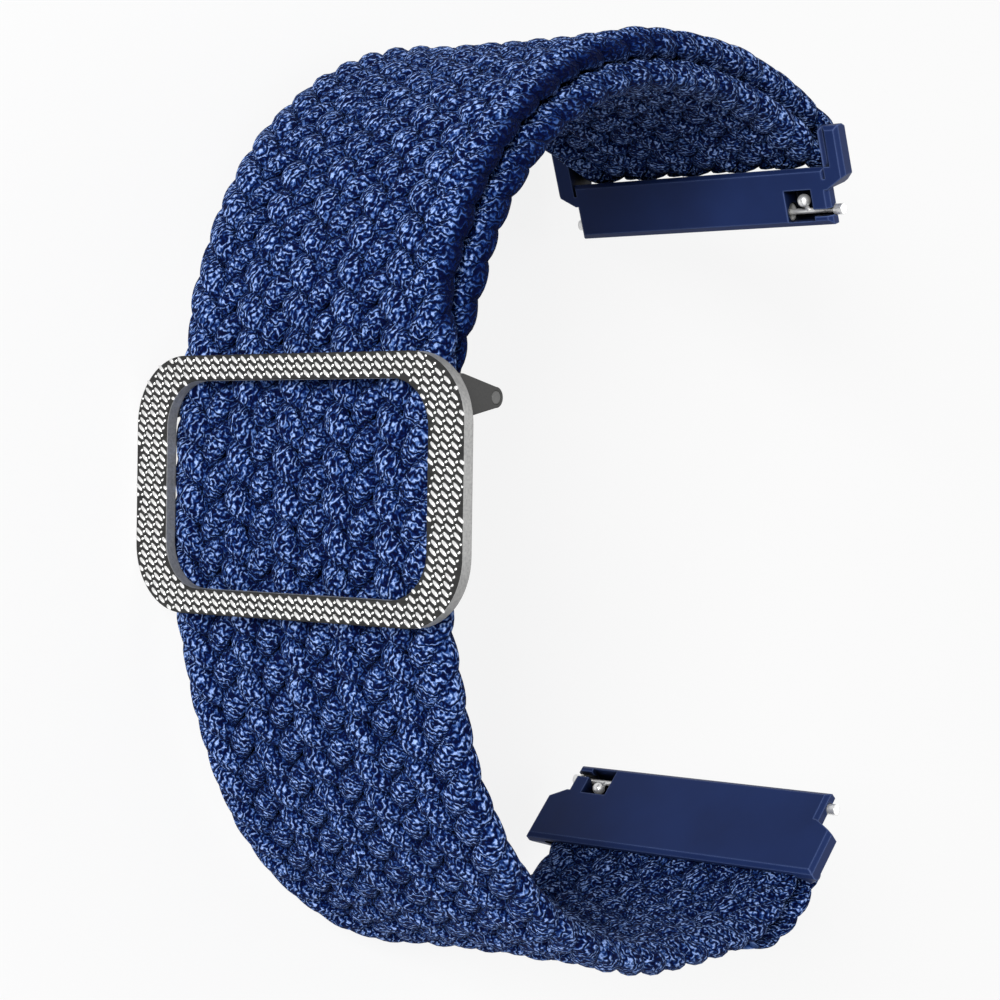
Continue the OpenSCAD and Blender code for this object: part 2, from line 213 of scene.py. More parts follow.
class Route:
    """The whole band as one line, from the lower sewn end to the end of the bar loop."""

    def __init__(self):
        near = near_arcs()
        up = walk((*BACK_START, math.pi / 2, BAND_T),
                  UP_STRETCHES + UPPER_FOLD + RETURN_STRETCHES + near + LOOP_ROUND_BAR)
        down = walk((*BACK_START, -math.pi / 2, BAND_T), DOWN_STRETCHES + LOWER_FOLD)
        down[:, 2] += math.pi
        down[:, 4] *= -1
        self.rows = np.vstack([down[:0:-1], up])
        self.lower_end = -total_length(DOWN_STRETCHES + LOWER_FOLD)
        self.lower_bar = -total_length(DOWN_STRETCHES)
        self.upper_bar = total_length(UP_STRETCHES)
        self.upper_bar_end = self.upper_bar + total_length(UPPER_FOLD)
        self.loop_start = self.upper_bar_end + total_length(RETURN_STRETCHES + near[:1])
        self.end = self.loop_start + total_length(near[1:] + LOOP_ROUND_BAR)
        self.tail_start = self.end - stretch_length(LOOP_ROUND_BAR[1])

    def at(self, s):
        """Centre line points, outward normals and thicknesses at distances s."""
        x, y, heading, t = (np.interp(s, self.rows[:, 4], self.rows[:, i]) for i in range(4))
        normal = np.stack([-np.sin(heading), np.cos(heading), np.zeros_like(heading)], -1)
        return np.stack([x, y, np.full_like(x, MIDDLE_Z)], -1), normal, t


def soften(values, width):
    """A closed row of values, blurred by a bell curve of that width in table steps."""
    reach = int(width * BELL_REACH)
    offsets = np.arange(-reach, reach + 1)
    bell = np.exp(-0.5 * (offsets / width) ** 2)
    wrapped = np.concatenate([values[-reach:], values, values[:reach]])
    return np.convolve(wrapped, bell / bell.sum(), mode="valid")


def braid_tables():
    """One strand's full cycle: place across in columns, 1 outside or -1 inside, and its lean."""
    q = np.arange(STRANDS * TABLE_STEPS) / TABLE_STEPS
    half = COLUMNS / 2
    turn = COLUMNS + EDGE_STAY
    across = np.select(
        [q < COLUMNS, q < turn, q < turn + COLUMNS], [q - half, half, half + turn - q], -half
    )
    late = EDGE_STAY / 2
    going_up = np.where((q >= turn - late) & (q < STRANDS - late), -1.0, 1.0)
    over = going_up * np.sin(np.pi * across)
    over = np.tanh(OVER_SQUARENESS * over) / math.tanh(OVER_SQUARENESS)
    blur = CORNER_SOFTNESS * TABLE_STEPS
    return soften(across, blur), soften(over, blur), soften(-going_up, blur)


def smoothstep(x):
    x = np.clip(x, 0, 1)
    return x * x * (3 - 2 * x)


def edge_rows(r):
    """Rows of distance on a route, and how far out the far and near edges are; negative is in."""
    return np.array([
        (r.lower_bar, 0, 0),
        (r.lower_bar + 5, 0, 0),
        (r.lower_bar + 12, 0.8, 0.1),
        (-14, 1.1, 0),
        (-2.8, 1.2, 0),
        (-1.1, 0.66, 0),
        (8, 0.7, 0),
        (9.4, 0.7, -0.5),
        (11, 1.0, -1.1),
        (28, 1.05, -1.1),
        (40, 1.1, 0),
        (r.upper_bar - 12, 0.9, 0.1),
        (r.upper_bar - 5, 0, 0),
        (r.upper_bar_end + 6, 0, 0),
        (r.upper_bar_end + 14, 0.2, 0),
        (r.loop_start - 9, 0.2, -0.6),
        (r.loop_start - 2, -0.7, -0.7),
        (r.tail_start - 1, -0.7, -0.7),
        (r.tail_start + 1, -0.9, -1.9),
    ])


def axes_across(line, normal):
    """Unit directions across a line at each of its points: outward and sideways."""
    ahead = np.gradient(line, axis=0)
    ahead /= np.linalg.norm(ahead, axis=1)[:, None]
    out = normal - (normal * ahead).sum(1)[:, None] * ahead
    out /= np.linalg.norm(out, axis=1)[:, None]
    return out, np.cross(ahead, out)


def half_size(dive, above, at_edge, plump, edge):
    """A strand's half size, between its dive and its float, and in its turn at the band's edge."""
    half = dive + (above - dive) * plump
    return half + (at_edge - half) * edge


def oval_rings(line, out, side, half_w, half_t):
    """A ring of points round each point of a line."""
    angle = np.arange(SIDES) * 2 * np.pi / SIDES
    return (
        line[:, None]
        + side[:, None] * (half_w[:, None] * np.cos(angle))[..., None]
        + out[:, None] * (half_t[:, None] * np.sin(angle))[..., None]
    )


def proudness(rings, centre, normal, thin):
    """How far each ring point stands out of the braid, from 0 in the gaps to 1."""
    height = ((rings - centre[:, None]) * normal[:, None]).sum(2)
    reach = (np.abs(rings[:, :, 2] - MIDDLE_Z) - EDGE_LINE + PROUD_EDGE) / PROUD_EDGE_RAMP
    return np.clip(np.maximum(np.abs(height) / (PROUD_HEIGHT * thin[:, None]), reach), 0, 1)


def strand_grid(count):
    """The first ring and the side of every face of a strand with that many rings."""
    ring, side = np.meshgrid(np.arange(count - 1), np.arange(SIDES), indexing="ij")
    return ring.ravel(), side.ravel()


def strand_quads(count):
    """Point numbers of every face of the first strand."""
    ring, side = strand_grid(count)
    next_side = (side + 1) % SIDES
    corners = [(ring, side), (ring + 1, side), (ring + 1, next_side), (ring, next_side)]
    return np.stack([a * SIDES + b for a, b in corners], 1)


def strand_uvs(along):
    """Place along the strand and share of the way round it, for each corner of its faces."""
    ring, side = strand_grid(len(along))
    v, v_next = side / SIDES, (side + 1) / SIDES
    u, u_next = along[ring], along[ring + 1]
    return np.stack([u, v, u_next, v, u_next, v_next, u, v_next], 1).reshape(-1, 2)


def strand_caps(count, low, high):
    """Faces that close the strands where the band is cut."""
    caps = []
    for k in range(STRANDS):
        first = k * count * SIDES
        if low:
            caps.append(list(range(first + SIDES - 1, first - 1, -1)))
        if high:
            last = first + (count - 1) * SIDES
            caps.append(list(range(last, last + SIDES)))
    return caps


def braid_object(name, points, faces, uvs, prouds):
    """A smooth shaded object with the two layers that the yarn's material reads."""
    mesh = bpy.data.meshes.new(name)
    mesh.from_pydata((points * MM).tolist(), [], faces)
    layer = mesh.uv_layers.new(name="strand")
    layer.data.foreach_set("uv", uvs.astype(np.float32).ravel())
    attribute = mesh.attributes.new("proud", "FLOAT", "POINT")
    attribute.data.foreach_set("value", prouds.astype(np.float32))
    mesh.polygons.foreach_set("use_smooth", [True] * len(mesh.polygons))
    return add_object(name, mesh)


class Braid:
    """Lays the strands along the route."""

    def __init__(self, route):
        self.route = route
        self.edges = edge_rows(route)
        self.tables = [np.append(row, row[0]) for row in braid_tables()]
        random = np.random.default_rng(SEED)
        self.drift = random.uniform(0, 2 * np.pi, (STRANDS, DRIFT_PHASES))

    def wander(self, k, s, drift):
        """A slow, small unevenness of strand k along the band."""
        first, wavelength, size = drift
        phase = self.drift[k]
        slow = np.sin(2 * np.pi * s / wavelength + phase[first])
        quick = np.sin(2 * np.pi * s / (wavelength * QUICK_WAVE) + phase[first + 1])
        return size * (SLOW_SHARE * slow + QUICK_SHARE * quick)

    def spread(self, across, s):
        """How far points move sideways: the band bulges and slips where nothing holds it."""
        stations, far, near = self.edges.T
        far_out = np.interp(s, stations, far)
        near_out = np.interp(s, stations, near)
        share = across * 2 / COLUMNS
        return share * (near_out + far_out) / 2 + (near_out - far_out) / 2

    def flare(self, across, s):
        """How far the band's lower edge curls outward at the top and the bottom of the loop."""
        stations, curl = zip(*EDGE_CURL)
        out = np.interp(s, stations, curl)
        return out * np.clip(0.5 - across / COLUMNS, 0, 1) ** 2

    def looseness(self, s):
        """1 where the band folds loosely round the upper connector's bar, 0 away from it."""
        r = self.route
        stations = [r.upper_bar - 3, r.upper_bar, r.upper_bar_end + 2, r.upper_bar_end + 5]
        return np.interp(s, stations, [0, 1, 1, 0])

    def middle(self, across, s):
        """Points half-way through the band, outward normals and thickness as a share of BAND_T."""
        centre, normal, t = self.route.at(s)
        loose = self.looseness(s)
        centre = centre + normal * (LOOSE_RISE * loose + self.flare(across, s))[:, None]
        return centre, normal, t / BAND_T * (1 + LOOSE_SWELL * loose)

    def strand(self, k, s):
        """Rings of points of strand k at distances s, with how far along and how proud each is."""
        q = (s / ROW - k) % STRANDS * TABLE_STEPS
        steps = np.arange(len(self.tables[0]))
        across, over, lean = (np.interp(q, steps, row) for row in self.tables)
        edge = smoothstep((np.abs(across) - COLUMNS / 2 + EDGE_START) / EDGE_RAMP)
        tilt = 1 + LEAN * lean * over * (1 - edge)
        centre, normal, thin = self.middle(across, s)
        w = across * COLUMN_W + self.spread(across, s) + self.wander(k, s, SIDEWAYS_DRIFT)
        n = (over * tilt * STRAND_RISE + self.wander(k, s, HEIGHT_DRIFT)) * thin
        line = centre + normal * n[:, None]
        line[:, 2] += w
        out, side = axes_across(line, normal)
        full = tilt * (1 + self.wander(k, s, GIRTH_DRIFT))
        plump = np.abs(over) ** PLUMP_POWER
        half_w = half_size(DIVE_HALF_W, FLOAT_HALF_W, EDGE_HALF_W, plump, edge) * full
        half_t = half_size(DIVE_HALF_T, FLOAT_HALF_T, EDGE_HALF_T, plump, edge) * full * thin
        rings = oval_rings(line, out, side, half_w, half_t)
        gone = np.linalg.norm(np.diff(line, axis=0), axis=1)
        along = np.concatenate([[0], np.cumsum(gone)]) + YARN_SHIFT * k
        return rings, along, proudness(rings, centre, normal, thin)

    def piece(self, name, s0, s1):
        """One mesh with every strand between two distances, closed where the band is cut."""
        count = max(2, round((s1 - s0) / RING_STEP)) + 1
        s = np.linspace(s0, s1, count)
        quads = strand_quads(count)
        points, faces, uvs, prouds = [], [], [], []
        for k in range(STRANDS):
            rings, along, proud = self.strand(k, s)
            points.append(rings.reshape(-1, 3))
            prouds.append(proud.ravel())
            faces.append(quads + k * count * SIDES)
            uvs.append(strand_uvs(along))
        caps = strand_caps(count, s0 == self.route.lower_end, s1 == self.route.end)
        uvs.append(np.zeros((len(caps) * SIDES, 2)))
        all_faces = np.vstack(faces).tolist() + caps
        return braid_object(name, np.vstack(points), all_faces, np.vstack(uvs), np.concatenate(prouds))


def add_object(name, mesh):
    made = bpy.data.objects.new(name, mesh)
    bpy.context.scene.collection.objects.link(made)
    return made


def mesh_object(name, points, faces):
    """A smooth shaded object from points in millimetres."""
    mesh = bpy.data.meshes.new(name)
    mesh.from_pydata([tuple(c * MM for c in p) for p in points], [], faces)
    mesh.polygons.foreach_set("use_smooth", [True] * len(mesh.polygons))
    return add_object(name, mesh)


# Materials


class Graph:
    """A material's node tree, with short calls for the nodes that are used here."""

    def __init__(self, name):
        self.material = bpy.data.materials.new(name)
        self.material.use_nodes = True
        self.tree = self.material.node_tree
        self.shader = self.tree.nodes["Principled BSDF"]

    def add(self, kind, values=None, **settings):
        made = self.tree.nodes.new("ShaderNode" + kind)
        for key, value in settings.items():
            setattr(made, key, value)
        for key, value in (values or {}).items():
            self.feed(made.inputs[key], value)
        return made

    def feed(self, socket, value):
        if isinstance(value, bpy.types.NodeSocket):
            self.tree.links.new(value, socket)
        else:
            socket.default_value = value

    def shade(self, values):
        for key, value in values.items():
            self.feed(self.shader.inputs[key], value)

    def math(self, operation, *values, clamp=False):
        made = self.add("Math", dict(enumerate(values)), operation=operation, use_clamp=clamp)
        return made.outputs[0]

    def noise(self, vector, scale, detail=2.0, roughness=0.5):
        values = {"Vector": vector, "Scale": scale, "Detail": detail, "Roughness": roughness}
        return self.add("TexNoise", values).outputs[0]

    def stretched(self, vector, factors):
        return self.add("VectorMath", {0: vector, 1: factors}, operation="MULTIPLY").outputs[0]

    def ramp(self, factor, stops):
        made = self.add("ValToRGB", {0: factor})
        elements = made.color_ramp.elements
        while len(elements) < len(stops):
            elements.new(0.5)
        for element, (place, colour) in zip(elements, stops):
            element.position = place
            element.color = (*colour, 1)
        return made.outputs[0]

    def mix(self, factor, a, b, blend="MIX"):
        made = self.add("Mix", {0: factor}, data_type="RGBA", blend_type=blend)
        for index, value in ((6, a), (7, b)):
            value = (*value, 1) if isinstance(value, tuple) and len(value) == 3 else value
            self.feed(made.inputs[index], value)
        return made.outputs[2]

    def bump(self, height, distance_mm, strength=1.0, normal=None):
        values = {"Height": height, "Distance": distance_mm * MM, "Strength": strength}
        if normal is not None:
            values["Normal"] = normal
        return self.add("Bump", values).outputs[0]


# Yarn: plies wound round the strand, bent by noise and broken up into short curls
PLY_BEND_SCALE = 2.7
PLY_BEND = 2.8
PLY_AROUND = 1.2
PLY_ALONG = 2.6
CURL_SCALE = 5.2
CURL_FROM, CURL_TO = 0.36, 0.54
CURL_SHARE, CURL_BASE = 0.8, 0.2
PROUD_FROM, PROUD_TO = 0.2, 0.85
# Painted shade: the yarn darkens to this share where it is least proud, in the gaps between strands
GAP_PAINTED_SHADE = 0.15
YARN_BUMP = 0.17
# The plies' pattern is the yarn's own; these colours run from painted shade low to painted highlight
# high
YARN_SHADE_TO_HIGHLIGHT = [
    (0.0, (0.0, 0.001, 0.02)),
    (0.16, (0.001, 0.009, 0.075)),
    (0.36, (0.013, 0.047, 0.2)),
    (0.62, (0.085, 0.17, 0.44)),
    (0.9, (0.33, 0.47, 0.88)),
]
PATCH_SCALE = 0.35
PATCH_TINTS = [(0.35, (0.8, 0.83, 0.86)), (0.65, (1.0, 1.0, 1.0))]


def yarn_height(g, place):
    """0 between the plies and on dark ground, 1 on the crest of a curl."""
    parts = g.add("SeparateXYZ", {0: place})
    along, around = parts.outputs[0], parts.outputs[1]
    bend = g.math("MULTIPLY", g.noise(place, PLY_BEND_SCALE, 1.0), PLY_BEND)
    wound = g.math("MULTIPLY_ADD", around, PLY_AROUND, bend)
    phase = g.math("MULTIPLY_ADD", along, PLY_ALONG, wound)
    wave = g.math("SINE", g.math("MULTIPLY", phase, math.pi))
    ply = g.math("MULTIPLY", wave, wave)
    curls = g.add("MapRange", {
        "Value": g.noise(place, CURL_SCALE, 1.0), "From Min": CURL_FROM, "From Max": CURL_TO,
    }).outputs[0]
    return g.math("MULTIPLY", ply, g.math("MULTIPLY_ADD", curls, CURL_SHARE, CURL_BASE))


def braid_material():
    """Matt nylon yarn: curls of fine plies, painted highlight on their crests, painted shade below and
    in the gaps.
    """
    g = Graph("braid_nylon")
    place = g.stretched(g.add("UVMap", uv_map="strand").outputs[0], (1.0, STRAND_GIRTH, 1.0))
    height = yarn_height(g, place)
    proud = g.add("Attribute", attribute_name="proud").outputs["Fac"]
    # Painted shade in the gaps between strands, from how proud each point is
    gap_shade = g.add("MapRange", {
        "Value": proud, "From Min": PROUD_FROM, "From Max": PROUD_TO, "To Min": GAP_PAINTED_SHADE, "To Max": 1.0,
    }).outputs[0]
    # Colour by ply height: painted shade between the plies, painted highlight on the crests of the
    # curls
    colour = g.ramp(g.math("MULTIPLY", height, gap_shade, clamp=True), YARN_SHADE_TO_HIGHLIGHT)
    tint = g.ramp(g.noise(place, PATCH_SCALE, 2.0), PATCH_TINTS)
    g.shade({
        "Base Color": g.mix(1.0, colour, tint, "MULTIPLY"),
        "Roughness": 0.75,
        "Specular IOR Level": 0.04,
        "Sheen Weight": 0.03,
        "Sheen Roughness": 0.5,
        "Sheen Tint": (0.35, 0.5, 1.0, 1.0),
        "Normal": g.bump(height, YARN_BUMP, 1.0),
    })
    return g.material


def thread_material():
    g = Graph("sewing_thread")
    place = g.add("TexCoord").outputs["Object"]
    twist = g.add("TexWave", {"Vector": place, "Scale": 1500.0, "Distortion": 1.0},
                  bands_direction="DIAGONAL").outputs["Fac"]
    colour = g.ramp(twist, [(0.2, (0.008, 0.012, 0.04)), (0.8, (0.03, 0.045, 0.12))])
    g.shade({"Base Color": colour, "Roughness": 0.6, "Normal": g.bump(twist, 0.03)})
    return g.material


def edge_amount(g, radius_mm):
    """0 on flat faces, 1 on the rounding of an edge, and the rounded normal."""
    rounded = g.add("Bevel", {"Radius": radius_mm * MM}, samples=8).outputs[0]
    flat = g.add("NewGeometry").outputs["Normal"]
    match = g.add("VectorMath", {0: rounded, 1: flat}, operation="DOT_PRODUCT").outputs["Value"]
    amount = g.math("MULTIPLY", g.math("SUBTRACT", 1.0, match), 14.0, clamp=True)
    return amount, rounded


MOULDING_EDGE = 0.16
MOULDING_COLOURS = [(0.3, (0.0108, 0.0225, 0.086)), (0.7, (0.0132, 0.028, 0.106))]
# Painted highlight: rounded edges are lightened towards this colour, by this share
EDGE_HIGHLIGHT_COLOUR = (0.075, 0.115, 0.27)
EDGE_HIGHLIGHT_SHARE = 0.85
RECESS_REACH = 1.6
# Painted shade: recesses darken by ambient occlusion through these stops
RECESS_PAINTED_SHADES = [(0.35, (0.01, 0.01, 0.01)), (0.68, (1.0, 1.0, 1.0))]


def moulding_material():
    """Satin moulded plastic, with painted highlight on rounded edges and painted shade in recesses."""
    g = Graph("navy_moulding")
    place = g.add("TexCoord").outputs["Object"]
    edge, rounded = edge_amount(g, MOULDING_EDGE)
    cloud = g.noise(place, 260.0, 3.0)
    grain = g.noise(place, 9000.0, 2.0)
    body = g.ramp(cloud, MOULDING_COLOURS)
    # Painted highlight along the rounded edges
    edge_highlighted = g.mix(g.math("MULTIPLY", edge, EDGE_HIGHLIGHT_SHARE), body, EDGE_HIGHLIGHT_COLOUR)
    # Painted shade in the recesses, multiplied into the colour
    recess = {"Distance": RECESS_REACH * MM}
    open_air = g.add("AmbientOcclusion", recess, samples=8, inside=False).outputs["AO"]
    g.shade({
        "Base Color": g.mix(1.0, edge_highlighted, g.ramp(open_air, RECESS_PAINTED_SHADES), "MULTIPLY"),
        "Roughness": g.math("MULTIPLY_ADD", cloud, 0.15, 0.42),
        "Specular IOR Level": 0.1,
        "Normal": g.bump(grain, 0.006, 0.5, rounded),
    })
    return g.material


def steel_material(name, grey, roughness, scratch_mm, metallic=1.0):
    """Steel of a given grey, with fine scratches that run along the part."""
    g = Graph(name)
    place = g.add("TexCoord").outputs["Object"]
    lines = g.noise(g.stretched(place, (1.0, 1.0, 0.06)), 9000.0, 3.0, 0.6)
    spots = g.noise(place, 700.0, 3.0)
    rounded = g.add("Bevel", {"Radius": 0.08 * MM}, samples=6).outputs[0]
    bright = g.ramp(spots, [(0.3, (grey * 0.86,) * 3), (0.7, (grey, grey, grey * 0.99))])
    g.shade({
        "Base Color": bright,
        "Metallic": metallic,
        "Roughness": g.math("MULTIPLY_ADD", lines, 0.16, roughness),
        "Normal": g.bump(lines, scratch_mm, 0.5, rounded),
    })
    return g.material


# The plate's steel is darkened behind its back, on the two ears, where nothing shows in the
# photograph: the near ear can't be hidden from that angle, and would stand out if it were bright
# This darkening is painted shade.
EAR_DEPTH = 18.6
PLATE_BACK = 18.85
EAR_SHADE = 0.12
FACING = 0.95
SIDE_GREYS = [(0.25, (0.24, 0.24, 0.24)), (0.75, (0.4, 0.4, 0.395))]
# Painted shade: the plate's face between the beads is nearly black
BEAD_GAP_SHADE_GREYS = [(0.25, (0.01, 0.01, 0.01)), (0.75, (0.035, 0.035, 0.035))]


def frame_material():
    """The buckle's plate: grey satin sides, ears darkened by painted shade, and a ground of painted
    shade between its beads.
    """
    g = Graph("buckle_plate")
    place = g.add("TexCoord").outputs["Object"]
    lines = g.noise(g.stretched(place, (1.0, 1.0, 0.08)), 7000.0, 3.0, 0.6)
    normal = g.add("NewGeometry").outputs["Normal"]
    turn = math.radians(-BUCKLE_TURN)
    outward = (-math.cos(turn), -math.sin(turn), 0.0)
    facing = g.add("VectorMath", {0: normal, 1: outward}, operation="DOT_PRODUCT").outputs["Value"]
    face = g.math("GREATER_THAN", facing, FACING)
    outwards = g.add("VectorMath", {0: place, 1: outward}, operation="DOT_PRODUCT").outputs["Value"]
    # Painted shade: the sides darken to EAR_SHADE behind the plate's back, on the ears
    shade = g.add("MapRange", {
        "Value": outwards, "From Min": EAR_DEPTH * MM, "From Max": PLATE_BACK * MM,
        "To Min": EAR_SHADE, "To Max": 1.0,
    }).outputs[0]
    sides = g.ramp(lines, SIDE_GREYS)
    sides = g.add("VectorMath", {0: sides, 1: shade}, operation="MULTIPLY").outputs[0]
    rounded = g.add("Bevel", {"Radius": 0.1 * MM}, samples=6).outputs[0]
    g.shade({
        "Base Color": g.mix(face, sides, g.ramp(lines, BEAD_GAP_SHADE_GREYS)),
        "Metallic": 0.6,
        "Roughness": g.math("MULTIPLY_ADD", lines, 0.2, 0.42),
        "Normal": g.bump(lines, 0.004, 0.5, rounded),
    })
    return g.material


def paint(piece, material):
    """Gives a piece or a construction node one material, through its slots."""
    if not piece.material_slots:
        piece.data.materials.append(material)
    for place in piece.material_slots:
        place.material = material


# Buckle beads, on the plate's face

FRAME_W = 24.5
FRAME_H = 14.3
SIDE_RAIL = 2.45
END_RAIL = 1.4
FRAME_CORNER_R = 3.8
WINDOW_CORNER_R = 2.6
BAND_OUTER_R = 40.0
PLATE_GAP = 0.33
PLATE_T = 0.7
WINDOW_HALF_H = FRAME_H / 2 - END_RAIL
PLATE_FACE_X = BACK_CENTRE[0] - math.sqrt(BAND_OUTER_R**2 - WINDOW_HALF_H**2) - PLATE_GAP - PLATE_T
BEAD_PITCH_Z = 0.72
BEAD_ROWS = 31
BEAD_PITCH_Y = (FRAME_H - END_RAIL) / BEAD_ROWS
BEAD_ROW_SHIFT = 0.15
# Half length, half width, height and slant
LONG_BEAD = (0.32, 0.12, 0.13, math.radians(-42))
SMALL_BEAD = (0.11, 0.08, 0.09, math.radians(40))
BEAD_SINK = 0.02
BEAD_ROOM = 0.2
SMALLEST_SHARE = 0.38
BEAD_ROUND = 10
BEAD_LEVELS = 3


def inside_rounded(y, z, half_h, half_w, corner):
    """How far a point is inside a rounded rectangle."""
    dy = abs(y) - half_h + corner
    dz = abs(z) - half_w + corner
    outside = math.hypot(max(dy, 0), max(dz, 0))
    return corner - outside - min(max(dy, dz), 0)


def rail_room(y, z):
    """How far a point of the plate's face is from the nearest edge; negative off the face."""
    outer = inside_rounded(y, z, FRAME_H / 2, FRAME_W / 2, FRAME_CORNER_R)
    window = inside_rounded(y, z, WINDOW_HALF_H, FRAME_W / 2 - SIDE_RAIL, WINDOW_CORNER_R)
    return min(outer, -window)


def buckle_place(x, y, z):
    """From the buckle's own middle to the strap's frame."""
    turn = math.radians(-BUCKLE_TURN)
    dx = x - BACK_CENTRE[0]
    return (
        BACK_CENTRE[0] + dx * math.cos(turn) - y * math.sin(turn),
        BACK_CENTRE[1] + dx * math.sin(turn) + y * math.cos(turn),
        MIDDLE_Z + z,
    )


def dome_faces(first):
    """Faces of a bead whose points start at that number: its rings, then its top."""
    faces = []
    for level in range(BEAD_LEVELS - 1):
        low = first + level * BEAD_ROUND
        for i in range(BEAD_ROUND):
            j = (i + 1) % BEAD_ROUND
            faces.append((low + i, low + j, low + BEAD_ROUND + j, low + BEAD_ROUND + i))
    last = first + (BEAD_LEVELS - 1) * BEAD_ROUND
    top = last + BEAD_ROUND
    for i in range(BEAD_ROUND):
        faces.append((last + i, last + (i + 1) % BEAD_ROUND, top))
    return faces


def add_bead(points, faces, place, form):
    """A slanted dome that stands on the plate's face, shortened where an edge is near."""
    y, z = place
    half_length, half_width, height, slant = form
    share = min(1, rail_room(y, z) / BEAD_ROOM)
    if share < SMALLEST_SHARE:
        return
    half_length = max(half_length * share, half_width)
    faces.extend(dome_faces(len(points)))
    cos_s, sin_s = math.cos(slant), math.sin(slant)
    for level in range(BEAD_LEVELS):
        rise = math.pi / 2 * level / BEAD_LEVELS
        for i in range(BEAD_ROUND):
            a = 2 * math.pi * i / BEAD_ROUND
            long = half_length * math.cos(a) * math.cos(rise)
            wide = half_width * math.sin(a) * math.cos(rise)
            points.append(buckle_place(
                PLATE_FACE_X + BEAD_SINK - height * math.sin(rise),
                y + long * sin_s + wide * cos_s,
                z + long * cos_s - wide * sin_s,
            ))
    points.append(buckle_place(PLATE_FACE_X + BEAD_SINK - height, y, z))


def buckle_beads():
    """Rows of long slanted beads with a small one between each two; each row is moved a little."""
    points, faces = [], []
    columns = int(FRAME_W / BEAD_PITCH_Z / 2) + 1
    for j in range(-1, BEAD_ROWS + 2):
        y = (END_RAIL - FRAME_H) / 2 + j * BEAD_PITCH_Y
        for i in range(-columns, columns + 1):
            z = (i + j * BEAD_ROW_SHIFT % 1) * BEAD_PITCH_Z
            add_bead(points, faces, (y, z), LONG_BEAD)
            add_bead(points, faces, (y, z + BEAD_PITCH_Z / 2), SMALL_BEAD)
    return mesh_object("buckle_beads", points, faces)


# Sewing stitches

STITCH_COUNT = 8
STITCH_PITCH = 2.1
STITCH_LENGTH = 1.5
STITCH_SINK = 0.14
STITCH_RISE = 0.16
STITCH_BOW = 0.5
THREAD_R = 0.11
THREAD_SIDES = 8
THREAD_STEPS = 10

# Where the rows of stitches are, as a share of the sewn tail from its cut end
LOWER_ROW_SHARE = 0.3
LOOP_ROW_SHARE = 0.55


def thread_faces(first):
    """Faces of one stitch whose points start at that number: its rings, then its two ends."""
    faces = []
    for step in range(THREAD_STEPS):
        for k in range(THREAD_SIDES):
            n = (k + 1) % THREAD_SIDES
            low = first + step * THREAD_SIDES
            faces.append((low + k, low + n, low + THREAD_SIDES + n, low + THREAD_SIDES + k))
    last = first + THREAD_STEPS * THREAD_SIDES
    faces.append(tuple(first + k for k in range(THREAD_SIDES - 1, -1, -1)))
    faces.append(tuple(last + k for k in range(THREAD_SIDES)))
    return faces


def thread_ring(middle, normal):
    """Points round the thread at one place."""
    tangent = np.array([-normal[1], normal[0], 0.0])
    points = []
    for k in range(THREAD_SIDES):
        a = 2 * math.pi * k / THREAD_SIDES
        offset = tangent * math.cos(a) + normal * math.sin(a)
        points.append(tuple(middle + offset * THREAD_R))
    return points


def stitch_row(name, route, s, face):
    """A row of thread stitches across the band at distance s, on the face with that sign."""
    centre, normal, t = (value[0] for value in route.at(np.array([s])))
    points, faces = [], []
    seat = centre + normal * face * (t / 2 - STITCH_SINK)
    for i in range(STITCH_COUNT):
        z = (i - (STITCH_COUNT - 1) / 2) * STITCH_PITCH
        faces.extend(thread_faces(len(points)))
        for step in range(THREAD_STEPS + 1):
            f = step / THREAD_STEPS
            rise = STITCH_RISE * math.sin(math.pi * f) ** STITCH_BOW
            along = (f - 0.5) * STITCH_LENGTH
            middle = seat + normal * face * rise + np.array([0, 0, z + along])
            points.extend(thread_ring(middle, normal))
    return mesh_object(name, points, faces)


# Camera, floor and light

CAMERA_PLACE = (-116.1, 4.9, 108.75)
IMAGE_RIGHT = Vector((0.6468, 0.0, 0.7627)).normalized()
IMAGE_UP = Vector((0.0240, 0.9996, -0.0203)).normalized()
CAMERA_LENS = 91.6
CAMERA_SENSOR = 36.0
CLIP_START, CLIP_END = 0.005, 10.0

# In metres and watts
FLOOR_REACH = 1.5
FLOOR_GREY = 0.9
FLOOR_GLOW = 0.85
WORLD_STRENGTH = 0.36
LAMPS = [
    ("key_lamp", (-0.45, 0.12, 0.26), 0.16, 2.5),
    ("side_lamp", (-0.36, -0.30, 0.20), 0.25, 0.3),
    ("front_lamp", (0.34, 0.05, 0.36), 0.25, 0.35),
]


def make_camera():
    back = IMAGE_RIGHT.cross(IMAGE_UP).normalized()
    up = back.cross(IMAGE_RIGHT).normalized()
    axes = Matrix((IMAGE_RIGHT, up, back)).transposed()
    data = bpy.data.cameras.new("camera")
    data.lens = CAMERA_LENS
    data.sensor_width = CAMERA_SENSOR
    data.clip_start = CLIP_START
    data.clip_end = CLIP_END
    camera = bpy.data.objects.new("camera", data)
    camera.matrix_world = Matrix.Translation(Vector(CAMERA_PLACE) * MM) @ axes.to_4x4()
    bpy.context.scene.collection.objects.link(camera)
    bpy.context.scene.camera = camera


def seen_directly(g_tree):
    """1 for rays from the camera, from gloss and through glass."""
    path = g_tree.nodes.new("ShaderNodeLightPath")
    most = path.outputs["Is Camera Ray"]
    for name in ("Is Glossy Ray", "Is Transmission Ray"):
        larger = g_tree.nodes.new("ShaderNodeMath")
        larger.operation = "MAXIMUM"
        g_tree.links.new(most, larger.inputs[0])
        g_tree.links.new(path.outputs[name], larger.inputs[1])
        most = larger.outputs[0]
    return most


